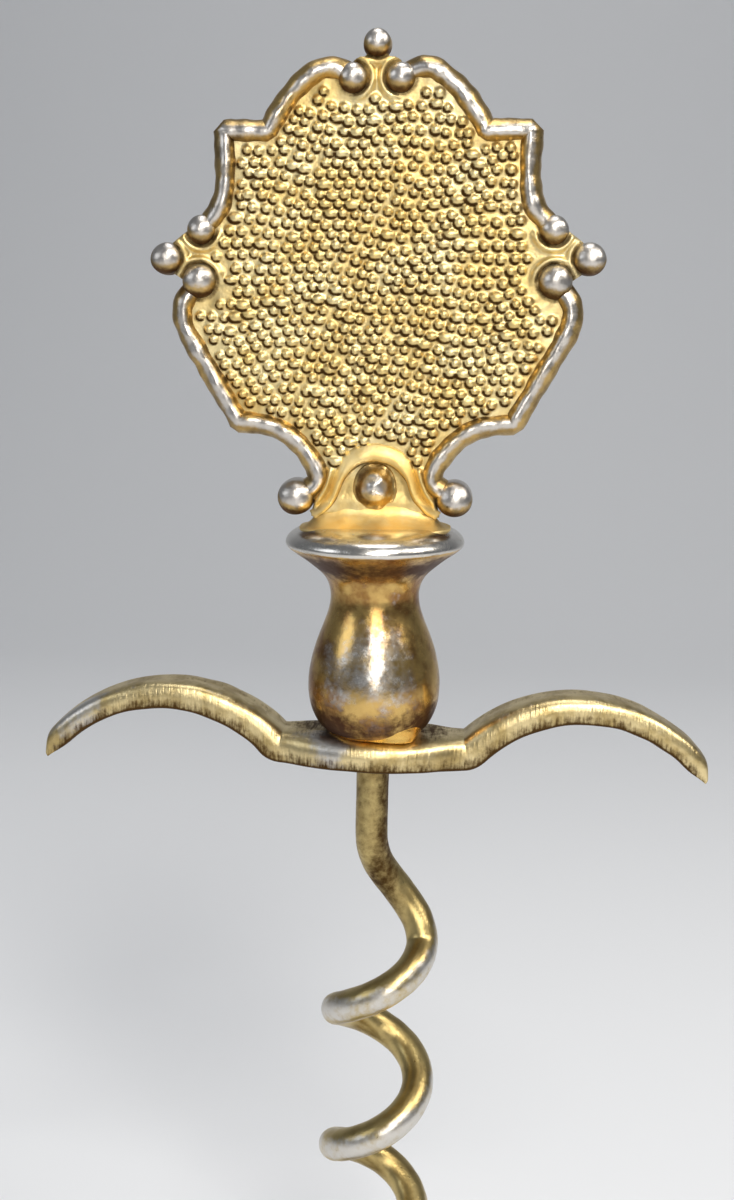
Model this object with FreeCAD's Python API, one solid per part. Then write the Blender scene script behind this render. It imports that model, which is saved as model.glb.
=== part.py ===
"""Two-finger corkscrew with a cartouche handle.

The tool stands along +Z.  The origin is on the tool's axis at the underside of the finger
bar, where the shank of the worm leaves it.  X runs along the finger bar, and the front
of the cartouche faces -Y.  Every length is in millimetres.
"""
import FreeCAD, Part

import math
import os

from FreeCAD import Vector

# ---------------------------------------------------------------- driving dimensions

# cartouche
PLATE_HALF = 0.8           # half thickness of the ground plate
RIM_HALF_WIDTH = 0.78      # rim moulding, half width seen from the front
RIM_HALF_DEPTH = 1.5       # rim moulding, half depth front to back

CROWN_BALL = (0.0, 52.3, 1.0)          # x, z, radius
CROWN_BEAD = (1.66, 50.0, 1.1)
SHOULDER_BEAD = (12.6, 39.7, 1.1)
EAR_BALL = (15.2, 37.7, 1.2)
SIDE_BEAD = (12.8, 36.1, 1.3)
SCROLL_BEAD = (5.9, 20.45, 1.38)
BEAD_DROP = 0.6            # how far a bead's dome stands off the ground plate's middle

BOSS_Z = 21.35
BOSS_RADIUS = 1.75         # radius of the boss where it meets the ground
BOSS_RISE = 1.3            # how far it stands out of the ground
ARCH_HALF_WIDTH = 0.45     # the band that rises round the boss
ARCH_RISE = 0.6

# socle, collar and baluster
COLLAR_TOP = 18.3
COLLAR_RADIUS = 6.8
COLLAR_EQUATOR = 17.1      # height of the collar's widest line
SOCLE_HALF_X = 5.9
SOCLE_HALF_Y = 3.4
SOCLE_HEIGHT = 1.5
TANG_HALF_WIDTH = 1.8
TANG_HALF_THICKNESS = 0.65
TANG_DEPTH = 3.2           # how far the tang goes down into the baluster
STEM_LEAN = -1.0           # degrees that stem and cartouche lean over the bar, towards -X

# finger bar
BAR_THICKNESS = 2.45
FOOT_Z = BAR_THICKNESS     # where the stem stands on the bar
EYE_HALF_LENGTH = 6.5      # half length of the flat middle that holds the hole
EYE_HALF_DEPTH = 4.0
EYE_TOP_ROUND = 0.7        # rounding of the eye's upper long edges
EYE_LOWER_ROUND = 0.3
ARM_ROOT = (4.5, 2.25)     # arm section at the eye: depth front to back, thickness
ARM_END = (3.1, 1.5)       # and where the nib begins
NIB_END = (2.0, 0.7)       # and at the very tip
ARM_APEX = (15.8, 4.89)    # top of the arm's centre line
ARM_INNER_RADIUS = 11.4    # centre line, eye to apex
ARM_OUTER_RADIUS = 11.8    # centre line, apex to tip
ARM_START_X = 4.2          # the arm is let this far into the eye
ARM_ROOT_X = 7.5           # where it leaves the eye's level
ARM_END_X = 24.1
NIB_END_X = 25.25

# worm
WIRE_RADIUS = 1.27
SHANK_BOTTOM = -5.6        # where the straight shank starts to wind out
SHANK_TOP = 11.0           # blind end of the shank inside the baluster
LOFT_TOP = -1.5            # above this the wire is a plain straight rod
COIL_RADIUS = 3.35         # centre line of the wire
COIL_OFFSET_X = 0.9        # the coil was wound a little off the shank's axis
COIL_PITCH = 12.1
COIL_START_Z = -15.1       # where the wire first reaches its full radius, on the +X side
COIL_TURNS = 3.4           # from there to the point
LEAD_TURN = 0.27           # turn over which the wire leaves the shank's axis
POINT_TURN = 0.7           # turn over which the wire tapers to its point
POINT_RADIUS = 0.12
STATIONS_PER_TURN = 16
WIRE_SIDES = 12            # below the bar the wire is a prism of this many sides

# solder
SOLDER_RADIUS = 3.85
SOLDER_HEIGHT = 0.75

OUT = "parts"


# ---------------------------------------------------------------- small helpers

def at(x, z):
    """A point of the cartouche's middle plane."""
    return Vector(x, 0, z)


def arc(start, middle, end):
    return Part.Arc(start, middle, end).toShape()


def line(start, end):
    return Part.LineSegment(start, end).toShape()


def smooth(*points):
    """A curve that runs smoothly through its points."""
    curve = Part.BSplineCurve()
    curve.interpolate(list(points))
    return curve.toShape()


def mirrored(shape):
    """The same shape on the other side of the tool's axis."""
    return shape.mirror(Vector(0, 0, 0), Vector(1, 0, 0))


def leaning(shape):
    """The shape turned about the stem's foot by the small lean of stem and cartouche."""
    turned = shape.copy()
    turned.rotate(at(0, FOOT_Z), Vector(0, 1, 0), STEM_LEAN)
    return turned


def largest_solid(shape):
    """The solid that matters of those a cut or a fuse leaves."""
    return max(shape.Solids, key=lambda solid: solid.Volume)


def face_of(edges):
    return Part.Face(Part.Wire(Part.__sortEdges__(edges)))


def revolved(profile):
    """A closed profile of edges in the XZ plane turned about the tool's axis."""
    return largest_solid(face_of(profile).revolve(Vector(0, 0, 0), Vector(0, 0, 1), 360))


def swept(edges, section):
    """A section carried along edges, mitred where two of them meet at a corner.

    The section is a closed run of (sideways, towards the back) corners.
    """
    start = edges[0].valueAt(edges[0].FirstParameter)
    along = edges[0].tangentAt(edges[0].FirstParameter)
    sideways = along.cross(Vector(0, 1, 0)).normalize()
    corners = [start + sideways * a + Vector(0, b, 0) for a, b in section]
    outline = Part.makePolygon(corners + corners[:1])
    return Part.Wire(edges).makePipeShell([outline], True, False, 1)


# ---------------------------------------------------------------- cartouche

def upper_rim_edges():
    """Centre line of an upper moulding: crown bead, notch, shoulder, shoulder bead."""
    notch = at(7.7, 46.5)
    shoulder = at(10.9, 46.5)
    return [
        smooth(at(*CROWN_BEAD[:2]), at(3.05, 50.7), at(5.9, 49.15), notch),
        line(notch, shoulder),
        smooth(shoulder, at(10.8, 43.6), at(11.2, 41.4), at(*SHOULDER_BEAD[:2])),
    ]


def lower_rim_edges():
    """Centre line of a lower moulding: side bead, flank, corner, scroll bead."""
    corner = at(10.1, 26.0)
    return [
        smooth(at(*SIDE_BEAD[:2]), at(14.05, 34.4), at(12.9, 30.9), corner),
        smooth(corner, at(7.4, 25.6), at(5.1, 23.8), at(4.25, 21.9), at(*SCROLL_BEAD[:2])),
    ]


def rim(edges):
    """A moulding of eight-sided oval section along a centre line."""
    section = []
    for i in range(8):
        angle = 2 * math.pi * (i + 0.5) / 8
        section.append((RIM_HALF_WIDTH * math.cos(angle), RIM_HALF_DEPTH * math.sin(angle)))
    return swept(edges, section)


def bead(x, z, radius):
    """A bead that domes out of both faces of the ground plate."""
    domes = [Part.makeSphere(radius, Vector(x, y, z)) for y in (-BEAD_DROP, BEAD_DROP)]
    body = Part.makeCylinder(radius, 2 * BEAD_DROP, Vector(x, -BEAD_DROP, z), Vector(0, 1, 0))
    return largest_solid(body.fuse(domes).removeSplitter())


def half_outline():
    """The ground plate's outline on the +X side, from the crown to the socle."""
    scroll = at(*SCROLL_BEAD[:2])
    foot = at(4.6, COLLAR_TOP + SOCLE_HEIGHT)
    return (
        [line(at(0, CROWN_BALL[1]), at(*CROWN_BEAD[:2]))]
        + upper_rim_edges()
        + [
            line(at(*SHOULDER_BEAD[:2]), at(*EAR_BALL[:2])),
            line(at(*EAR_BALL[:2]), at(*SIDE_BEAD[:2])),
        ]
        + lower_rim_edges()
        + [line(scroll, foot), line(foot, at(0, foot.z))]
    )


def ground_plate():
    """The plain ground plate with its tang, before the mouldings are let in."""
    bottom = COLLAR_TOP + SOCLE_HEIGHT
    middle = line(at(0, bottom), at(0, CROWN_BALL[1]))
    half = face_of(half_outline() + [middle]).extrude(Vector(0, 2 * PLATE_HALF, 0))
    half.translate(Vector(0, -PLATE_HALF, 0))
    tang = Part.makeBox(
        2 * TANG_HALF_WIDTH, 2 * TANG_HALF_THICKNESS, SOCLE_HEIGHT + TANG_DEPTH,
        Vector(-TANG_HALF_WIDTH, -TANG_HALF_THICKNESS, COLLAR_TOP - TANG_DEPTH),
    )
    return half.fuse([mirrored(half), tang]).removeSplitter()


def boss():
    """The domed boss on the front, above the socle: a cap of a ball."""
    ball_radius = (BOSS_RADIUS ** 2 + BOSS_RISE ** 2) / (2 * BOSS_RISE)
    crown_y = -PLATE_HALF - BOSS_RISE
    ball = Part.makeSphere(ball_radius, Vector(0, crown_y + ball_radius, BOSS_Z))
    reach = 2 * BOSS_RADIUS
    front = Part.makeBox(
        2 * reach, reach, 2 * reach, Vector(-reach, -PLATE_HALF - reach, BOSS_Z - reach)
    )
    return largest_solid(ball.common(front))


def arch_band():
    """The bell-shaped band that rises over the boss and flares to the socle."""
    side = [(4.6, 18.9), (3.1, 20.4), (2.35, 22.2), (1.35, 23.25)]
    right = [at(x, z) for x, z in side]
    left = [at(-x, z) for x, z in side]
    path = smooth(*left, at(0, 23.6), *reversed(right))
    wide, low, high = ARCH_HALF_WIDTH, -PLATE_HALF, -PLATE_HALF - ARCH_RISE
    section = [(-wide, low), (-wide, high * 0.8), (0, high), (wide, high * 0.8), (wide, low)]
    return swept([path], section)


def socle():
    """The coved foot that carries the plate on the collar."""
    top = COLLAR_TOP + SOCLE_HEIGHT
    edge_height = 0.3
    neck = PLATE_HALF + 0.2
    profile = []
    for side in (-1, 1):
        corner = Vector(0, side * SOCLE_HALF_Y, COLLAR_TOP)
        shoulder = corner + Vector(0, 0, edge_height)
        crest = Vector(0, side * neck, top)
        hollow = Vector(0, side * (neck + 0.75), COLLAR_TOP + 0.7)
        profile += [line(corner, shoulder), arc(shoulder, hollow, crest)]
    profile.append(line(Vector(0, -neck, top), Vector(0, neck, top)))
    profile.append(line(Vector(0, -SOCLE_HALF_Y, COLLAR_TOP),
                        Vector(0, SOCLE_HALF_Y, COLLAR_TOP)))
    prism = face_of(profile).extrude(Vector(2 * SOCLE_HALF_X, 0, 0))
    prism.translate(Vector(-SOCLE_HALF_X, 0, 0))
    round_block = Part.makeBox(
        2 * SOCLE_HALF_X, 2 * SOCLE_HALF_Y, SOCLE_HEIGHT,
        Vector(-SOCLE_HALF_X, -SOCLE_HALF_Y, COLLAR_TOP),
    )
    uprights = [edge for edge in round_block.Edges
                if abs(edge.tangentAt(edge.FirstParameter).z) > 0.9]
    round_block = round_block.makeFillet(0.7 * SOCLE_HALF_Y, uprights)
    return largest_solid(prism.common(round_block))


# ---------------------------------------------------------------- baluster

def baluster():
    """The turned stem: foot, bulb, neck, flared cup and the collar's rounded lip."""
    side = [
        (3.25, FOOT_Z), (3.85, 2.78), (4.32, 3.32), (4.92, 4.76), (5.05, 6.2), (4.96, 7.3),
        (4.68, 8.7), (4.15, 10.27), (3.55, 11.83), (3.37, 13.2), (3.87, 14.6), (4.67, 15.35),
        (5.57, 16.05), (6.5, 16.65),
    ]
    curve = Part.BSplineCurve()
    curve.interpolate([at(radius, z) for radius, z in side])
    lip_low = at(*side[-1])
    lip_middle = at(COLLAR_RADIUS, COLLAR_EQUATOR)
    lip_high = at(6.3, 17.85)
    lip_top = at(5.7, COLLAR_TOP)
    return revolved([
        line(at(0, FOOT_Z), at(*side[0])),
        curve.toShape(),
        arc(lip_low, lip_middle, lip_high),
        line(lip_high, lip_top),
        line(lip_top, at(0, COLLAR_TOP)),
        line(at(0, COLLAR_TOP), at(0, FOOT_Z)),
    ])


def solder_fillet():
    """The ring of solder in the corner between the baluster and the finger bar."""
    inner = 2.5
    top = FOOT_Z + SOLDER_HEIGHT
    return revolved([
        line(at(inner, FOOT_Z), at(SOLDER_RADIUS, FOOT_Z)),
        line(at(SOLDER_RADIUS, FOOT_Z), at(SOLDER_RADIUS, top)),
        line(at(SOLDER_RADIUS, top), at(inner, top)),
        line(at(inner, top), at(inner, FOOT_Z)),
    ])


# ---------------------------------------------------------------- finger bar

def arm_centre(x):
    """Height of the arm's centre line, and its slope, at x."""
    apex_x, apex_z = ARM_APEX
    radius = ARM_INNER_RADIUS if x < apex_x else ARM_OUTER_RADIUS
    run = x - apex_x
    rise = math.sqrt(radius * radius - run * run)
    return apex_z - radius + rise, -run / rise


def arm_section(x, z, slope, depth, thickness):
    """An eight-sided section square to the centre line, a rectangle with cut corners."""
    half_depth, half_thick = depth / 2, thickness / 2
    cut = 0.5 * half_thick
    along = Vector(1, 0, slope).normalize()
    up = Vector(-along.z, 0, along.x)
    corners = []
    for depth_sign, up_sign in ((1, 1), (-1, 1), (-1, -1), (1, -1)):
        side = (depth_sign * half_depth, up_sign * (half_thick - cut))
        cap = (depth_sign * (half_depth - cut), up_sign * half_thick)
        pair = (side, cap) if depth_sign == up_sign else (cap, side)
        for depth, height in pair:
            corners.append(at(x, z) + Vector(0, depth, 0) + up * height)
    return Part.makePolygon(corners + corners[:1])


def arm():
    """One curved finger rest on the +X side, let into the eye."""
    middle = BAR_THICKNESS / 2
    sections = [arm_section(x, middle, 0.0, *ARM_ROOT) for x in (ARM_START_X, 5.6)]
    steps = 12
    for i in range(steps + 1):
        share = i / steps
        x = ARM_ROOT_X + (ARM_END_X - ARM_ROOT_X) * share
        depth, thickness = (
            root + (end - root) * share for root, end in zip(ARM_ROOT, ARM_END)
        )
        sections.append(arm_section(x, *arm_centre(x), depth, thickness))
    sections.append(arm_section(NIB_END_X, *arm_centre(NIB_END_X), *NIB_END))
    return Part.makeLoft(sections, True, False)


def finger_bar():
    """The flat eye under the baluster and its two drooping arms, one forging."""
    left, right = Vector(-EYE_HALF_LENGTH, 0, 0), Vector(EYE_HALF_LENGTH, 0, 0)
    end_depth = Vector(0, ARM_ROOT[0] / 2, 0)
    front, back = Vector(0, -EYE_HALF_DEPTH, 0), Vector(0, EYE_HALF_DEPTH, 0)
    outline = [
        arc(left - end_depth, front, right - end_depth),
        line(right - end_depth, right + end_depth),
        arc(right + end_depth, back, left + end_depth),
        line(left + end_depth, left - end_depth),
    ]
    eye = face_of(outline).extrude(Vector(0, 0, BAR_THICKNESS))
    for height, radius in ((BAR_THICKNESS, EYE_TOP_ROUND), (0.0, EYE_LOWER_ROUND)):
        edges = [edge for edge in eye.Edges if isinstance(edge.Curve, Part.Circle)
                 and abs(edge.CenterOfMass.z - height) < 1e-6]
        eye = eye.makeFillet(radius, edges)
    right_arm = arm()
    body = eye.fuse([right_arm, mirrored(right_arm)])
    hole = Part.makeCylinder(WIRE_RADIUS, 2 * BAR_THICKNESS,
                             Vector(0, 0, -BAR_THICKNESS / 2))
    return largest_solid(body.cut(hole))


# ---------------------------------------------------------------- worm

def worm_stations():
    """Points of the wire's centre line and its radius there, below the bar."""
    stations = [(at(0, z), WIRE_RADIUS) for z in (LOFT_TOP, -2.6, -3.8, -4.8)]
    lead_steps = 8
    for i in range(lead_steps):
        share = i / lead_steps
        ease = share * share * (3 - 2 * share)
        angle = 2 * math.pi * LEAD_TURN * (1 - share)
        reach = COIL_RADIUS * ease
        x = COIL_OFFSET_X * ease + reach * math.cos(angle)
        z = SHANK_BOTTOM + (COIL_START_Z - SHANK_BOTTOM) * share
        stations.append((Vector(x, reach * math.sin(angle), z), WIRE_RADIUS))
    steps = int(STATIONS_PER_TURN * COIL_TURNS)
    for i in range(steps + 1):
        turn = COIL_TURNS * i / steps
        angle = -2 * math.pi * turn
        share = min(1.0, (COIL_TURNS - turn) / POINT_TURN)
        radius = POINT_RADIUS + (WIRE_RADIUS - POINT_RADIUS) * share ** 0.75
        x = COIL_OFFSET_X + COIL_RADIUS * math.cos(angle)
        y = COIL_RADIUS * math.sin(angle)
        stations.append((Vector(x, y, COIL_START_Z - COIL_PITCH * turn), radius))
    return stations


def worm():
    """The wire: a straight shank that winds out into a right-hand coil."""
    stations = worm_stations()
    path = Part.BSplineCurve()
    path.interpolate([point for point, _ in stations])
    side_angle = 2 * math.pi / WIRE_SIDES
    same_area = math.sqrt(side_angle / math.sin(side_angle))
    across = Vector(1, 0, 0)
    sections = []
    for point, radius in stations:
        along = path.tangent(path.parameter(point))[0]
        across = (across - along * across.dot(along)).normalize()
        beside = along.cross(across)
        reach = radius * same_area
        corners = []
        for i in range(WIRE_SIDES):
            turn = i * side_angle
            corners.append(
                point + across * (reach * math.cos(turn)) + beside * (reach * math.sin(turn))
            )
        sections.append(Part.makePolygon(corners + corners[:1]))
    coil = Part.makeLoft(sections, True, False)
    shank = Part.makeCylinder(WIRE_RADIUS, SHANK_TOP - LOFT_TOP, at(0, LOFT_TOP))
    return largest_solid(shank.fuse(coil))


# ---------------------------------------------------------------- assembly

def build():
    """Every sub-part by node name, each let into its neighbours face to face."""
    beads = {
        "crown_bead": bead(*CROWN_BEAD),
        "shoulder_bead": bead(*SHOULDER_BEAD),
        "ear_ball": bead(*EAR_BALL),
        "side_bead": bead(*SIDE_BEAD),
        "scroll_bead": bead(*SCROLL_BEAD),
    }
    parts = {"crown_ball": bead(*CROWN_BALL)}
    for name, shape in beads.items():
        parts[name + "_right"] = shape
        parts[name + "_left"] = mirrored(shape)

    rims = {}
    for name, edges in (("rim_upper", upper_rim_edges()), ("rim_lower", lower_rim_edges())):
        moulding = largest_solid(rim(edges).cut(list(beads.values())))
        rims[name + "_right"] = moulding
        rims[name + "_left"] = mirrored(moulding)

    ornaments = list(parts.values()) + list(rims.values())
    plate = largest_solid(ground_plate().cut(ornaments))
    base = largest_solid(socle().cut([plate] + ornaments))
    band = largest_solid(arch_band().cut([base] + ornaments))
    parts.update(rims)
    parts["ground_plate"] = plate
    parts["socle"] = base
    parts["arch_band"] = band
    parts["boss"] = largest_solid(boss().cut([base, band]))
    parts = {name: leaning(shape) for name, shape in parts.items()}

    bar = finger_bar()
    shank_bore = Part.makeCylinder(WIRE_RADIUS, SHANK_TOP)
    stem = leaning(baluster())
    parts["baluster"] = largest_solid(stem.cut([leaning(plate), shank_bore, bar]))
    parts["solder_fillet"] = largest_solid(solder_fillet().cut([stem, bar]))
    parts["finger_bar"] = bar
    parts["worm"] = worm()
    return parts


def main():
    os.makedirs(OUT, exist_ok=True)
    for name, shape in build().items():
        box = shape.optimalBoundingBox()
        print(
            f"{name:20s} solids {len(shape.Solids)} valid {shape.isValid()}"
            f" volume {shape.Volume:8.2f}"
            f" x {box.XMin:7.2f} {box.XMax:7.2f}"
            f" y {box.YMin:6.2f} {box.YMax:6.2f}"
            f" z {box.ZMin:7.2f} {box.ZMax:7.2f}"
        )
        shape.exportStep(f"{OUT}/{name}.step")


main()
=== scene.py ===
"""Looks of the two-finger corkscrew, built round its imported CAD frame.

Shapes are worked out in millimetres in the part's own frame (X along the finger bar, the
cartouche's front facing -Y, +Z up) and written to Blender in metres.
"""

import math

import bmesh
import bpy
import numpy as np
from mathutils import Matrix, Vector


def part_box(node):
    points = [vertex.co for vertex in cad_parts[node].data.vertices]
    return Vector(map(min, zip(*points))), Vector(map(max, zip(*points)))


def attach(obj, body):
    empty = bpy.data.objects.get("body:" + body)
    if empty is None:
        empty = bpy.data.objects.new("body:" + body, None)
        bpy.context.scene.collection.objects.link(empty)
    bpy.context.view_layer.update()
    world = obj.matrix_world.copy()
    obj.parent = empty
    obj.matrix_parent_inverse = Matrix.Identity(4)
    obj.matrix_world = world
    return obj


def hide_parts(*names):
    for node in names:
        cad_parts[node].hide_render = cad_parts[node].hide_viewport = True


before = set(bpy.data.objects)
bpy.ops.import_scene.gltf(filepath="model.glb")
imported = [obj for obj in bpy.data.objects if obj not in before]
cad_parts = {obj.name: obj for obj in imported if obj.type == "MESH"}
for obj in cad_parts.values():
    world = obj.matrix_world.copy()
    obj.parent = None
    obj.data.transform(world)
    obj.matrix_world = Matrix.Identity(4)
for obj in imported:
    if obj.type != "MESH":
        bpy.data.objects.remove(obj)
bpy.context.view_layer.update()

MM = 0.001

# ---------------------------------------------------------------- dimensions, in millimetres

STEM_LEAN = math.radians(-1.0)   # lean of stem and cartouche over the bar
FOOT_Z = 2.45                # where the stem stands on the bar
PLATE_HALF = 0.8             # half thickness of the cartouche's plate
PLATE_STEP = 0.115           # grid of the plate's mesh
PLATE_EDGE = 0.55            # width over which the plate's edge rounds off
PLATE_EDGE_DROP = 0.45       # how far it falls there
PLATE_REACH_X = 17.4
PLATE_TOP = 54.0
RECESS_DEPTH = 0.16          # of the smooth field inside the arch band
FOOT_SUNK = 0.2              # how deep the feet of boss and arch band lie in the plate

GRANULE_PITCH_X = 0.91
GRANULE_PITCH_Z = 0.79
GRANULE_RADIUS = (0.34, 0.42)
GRANULE_HEIGHT = (0.30, 0.40)
GRANULE_MARGIN = 1.22        # from the rim's centre line to the outermost granules
GRANULE_BEAD_GAP = 0.78      # no granule's centre is nearer than this to a bead,
GRANULE_ARCH_GAP = 0.95      # nor than this to the arch band,
GRANULE_LOWEST_Z = 21.3      # nor lower than this

CUP_GAP = 0.28               # from a bead's edge to the crest of the ridge that cups it
CUP_WIDTH = 0.20
CUP_HEIGHT = 0.42
MITRE_REACH = 1.06           # how far a rim's corner may stand out, in its own half widths

EAR_WEB_HEART = (13.3, 37.9)     # metal fills the gaps between the beads round these
CROWN_WEB_HEART = (0, 50.6)
EAR_CUP_HEART = (13.4, 37.9)     # and the ridges that cup the beads face these
CROWN_CUP_HEART = (0.0, 50.8)

BOSS_Z = 21.35
BOSS_RADIUS = 1.75
BOSS_RISE = 1.3

COLLAR_TOP = 18.3
SOCLE_SUNK = 0.05            # how deep the socle's foot lies in the collar
SOCLE_HALF_X = 5.65
SOCLE_HALF_Y = 3.4
SOCLE_TAPER = 0.24 / 0.79    # narrowing of the width for each share of the depth lost
SOCLE_TOP = 20.15
COLLAR_RADIUS = 6.79

STEM_SIDE = [(1.4, 2.5), (3.0, 2.5), (3.5, 2.6), (3.95, 2.85), (4.35, 3.35), (4.9, 4.76),
             (5.03, 6.2), (4.94, 7.3), (4.66, 8.7), (4.13, 10.27), (3.54, 11.83),
             (3.36, 13.2), (3.85, 14.6), (4.65, 15.35), (5.55, 16.05), (6.42, 16.66),
             (6.76, 17.08), (6.62, 17.5), (6.1, 17.95), (5.4, 18.2), (1.0, 18.24)]
STEM_UNDERCUT = [(2.45, 2.85, 3.35, 4.76), (3.4, 3.95, 4.35, 4.9)]   # heights, radii
DROP_TURN = -0.85            # direction of the solder's drop, at the front right

BAR_THICKNESS = 2.45
EYE_HALF_LENGTH = 6.5
EYE_HALF_DEPTH = 4.0
ARM_ROOT = (2.25, 1.20)      # half depth front to back and half thickness
ARM_END = (1.6, 0.86)
NIB_HALF_DEPTH = 1.15
NIB_BEVEL = (23.6, 0.7, -0.66)   # a point (x, z) and the slope of the flat filed under it
BEVEL_START_X = 21
ARM_APEX = (15.8, 4.89)
ARM_INNER_RADIUS = 11.4
ARM_OUTER_RADIUS = 11.8
ARM_ROOT_X = 7.5
ARM_END_X = 23.9
NIB_END_X = 25.5

WIRE_RADIUS = 1.27
SHANK_BOTTOM = -5.6
COIL_RADIUS = 3.35
COIL_OFFSET_X = 0.9
COIL_PITCH = 12.1
COIL_START_Z = -15.1
COIL_TURNS = 3.4
LEAD_TURN = 0.27
POINT_TURN = 0.7
POINT_RADIUS = 0.12

FLOOR_DROP = 2.0             # the floor lies this far below the worm's point
BACKDROP_RADIUS = 260        # of the sweep from the floor up into the backdrop
BACKDROP_TOP = 900
FLOOR_HALF_WIDTH = 1100
LIGHT_AIM_Z = 25

CAMERA_DISTANCE = 105.0
CAMERA_LENS = 41.58
SENSOR_HEIGHT = 36
CAMERA_AIM_Z = 12.6
CAMERA_AIM_X = -0.76
CAMERA_ELEVATION = math.radians(11.6)
CAMERA_YAW = math.radians(3.5)
CAMERA_ROLL = math.radians(1.3)


# ---------------------------------------------------------------- small maths

def leaned(points, sign=1):
    """Points turned with the stem and cartouche about the stem's foot, or back again."""
    points = np.array(points, float)
    sine, cosine = sign * math.sin(STEM_LEAN), math.cos(STEM_LEAN)
    x, z = points[..., 0].copy(), points[..., -1] - FOOT_Z
    points[..., 0] = x * cosine + z * sine
    points[..., -1] = FOOT_Z + z * cosine - x * sine
    return points


def node_ball(node):
    """Centre (x, z), before the lean, and radius of a bead's CAD node."""
    low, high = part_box(node)
    centre = (low + high) / 2 / MM
    return leaned((centre.x, centre.z), -1), (high.x - low.x) / 2 / MM


def spline(points, count):
    """A natural cubic spline through points, by chord length, as count points."""
    points = np.array(points, float)
    chords = np.linalg.norm(np.diff(points, axis=0), axis=1)
    knots = np.concatenate([[0], np.cumsum(chords)])
    n = len(points)
    system = np.eye(n)
    right = np.zeros_like(points)
    for i in range(1, n - 1):
        before, after = chords[i - 1], chords[i]
        system[i, i - 1:i + 2] = before, 2 * (before + after), after
        right[i] = 6 * ((points[i + 1] - points[i]) / after
                        - (points[i] - points[i - 1]) / before)
    bend = np.linalg.solve(system, right)
    at = np.linspace(0, knots[-1], count)
    span = np.clip(np.searchsorted(knots, at) - 1, 0, n - 2)
    width = chords[span][:, None]
    a = (knots[span + 1] - at)[:, None]
    b = (at - knots[span])[:, None]
    return (
        bend[span] * a ** 3 / (6 * width) + bend[span + 1] * b ** 3 / (6 * width)
        + (points[span] / width - bend[span] * width / 6) * a
        + (points[span + 1] / width - bend[span + 1] * width / 6) * b
    )


def smoothstep(low, high, value):
    """0 at low, 1 at high (which may be the smaller), with a soft start and end."""
    share = np.clip((value - low) / (high - low), 0, 1)
    return share * share * (3 - 2 * share)


def soft_noise(points, size, seed):
    """A smooth random field of about unit size that varies over the given length."""
    draw = np.random.default_rng(seed)
    waves = draw.normal(size=(24, points.shape[-1])) * (2 * math.pi / size / 2.2)
    phases = draw.uniform(0, 2 * math.pi, 24)
    return np.sin(points @ waves.T + phases).sum(-1) / math.sqrt(12)


def ring_noise(rings, size, seed):
    """Soft noise at each point of a stack of rings."""
    return soft_noise(rings.reshape(-1, 3), size, seed).reshape(rings.shape[:2])


def smooth_min(a, b, reach):
    """The smaller of two values, blended where they are closer than reach."""
    blend = np.clip(0.5 + 0.5 * (b - a) / reach, 0, 1)
    return b * (1 - blend) + a * blend - reach * blend * (1 - blend)


def line_distance(points, path):
    """Distance from each point to a polyline."""
    start, step = path[:-1], np.diff(path, axis=0)
    length = np.maximum((step ** 2).sum(1), 1e-12)
    best = np.empty(len(points))
    block = 4000             # points at a time, to keep the arrays small
    for i in range(0, len(points), block):
        away = points[i:i + block, None] - start
        share = np.clip((away * step).sum(2) / length, 0, 1)
        gap = away - share[..., None] * step
        best[i:i + block] = np.sqrt((gap ** 2).sum(2).min(1))
    return best


def inside(points, outline):
    """Whether each point lies in a closed outline."""
    x, z = points.T
    result = np.zeros(len(points), bool)
    for (x1, z1), (x2, z2) in zip(outline, np.roll(outline, -1, axis=0)):
        if z1 == z2:
            continue
        crosses = (z1 > z) != (z2 > z)
        result ^= crosses & (x < (x2 - x1) * (z - z1) / (z2 - z1) + x1)
    return result


# ---------------------------------------------------------------- meshes

def make_piece(name, vertices, faces, material, slot, node, leans=True, **masks):
    """A closed mesh from millimetre vertices that stands for a CAD node.

    The masks, one number to a vertex, tell the material where it is worn bare, where a
    highlight is painted as bare metal, and where tarnish or painted shade darkens it.
    """
    mesh = bpy.data.meshes.new(name)
    placed = leaned(vertices) if leans else np.asarray(vertices)
    mesh.from_pydata((placed * MM).tolist(), [], faces)
    for mask_name, values in masks.items():
        layer = mesh.attributes.new(mask_name, "FLOAT", "POINT")
        layer.data.foreach_set("value", np.asarray(values, np.float32))
    shell = bmesh.new()
    shell.from_mesh(mesh)
    bmesh.ops.remove_doubles(shell, verts=shell.verts, dist=0.002 * MM)
    bmesh.ops.recalc_face_normals(shell, faces=shell.faces)
    shell.to_mesh(mesh)
    shell.free()
    mesh.shade_smooth()
    mesh.materials.append(material)
    piece = bpy.data.objects.new(name + "_look", mesh)
    bpy.context.scene.collection.objects.link(piece)
    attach(piece, "root")
    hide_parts(node)
    return piece


def loft_faces(rings, around):
    """Quads between closed rings of points, with a face over each end."""
    faces = []
    for i in range(rings - 1):
        for j in range(around):
            k = (j + 1) % around
            faces.append((i * around + j, i * around + k,
                          (i + 1) * around + k, (i + 1) * around + j))
    faces.append(tuple(reversed(range(around))))
    faces.append(tuple(range((rings - 1) * around, rings * around)))
    return faces


def loft(name, rings, material, slot, wear, hollow, leans=True):
    """A piece lofted through rings of points; it stands for the CAD node of its name."""
    rings = np.asarray(rings)
    faces = loft_faces(rings.shape[0], rings.shape[1])
    return make_piece(name, rings.reshape(-1, 3), faces, material, slot, name, leans=leans,
                      wear=np.ravel(wear), hollow=np.ravel(hollow))


def superellipse(around, power):
    """How far out a rounded square of unit half width lies in each direction."""
    return (np.abs(np.cos(around)) ** power + np.abs(np.sin(around)) ** power) ** (-1 / power)


# ---------------------------------------------------------------- the cartouche's lines

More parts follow.
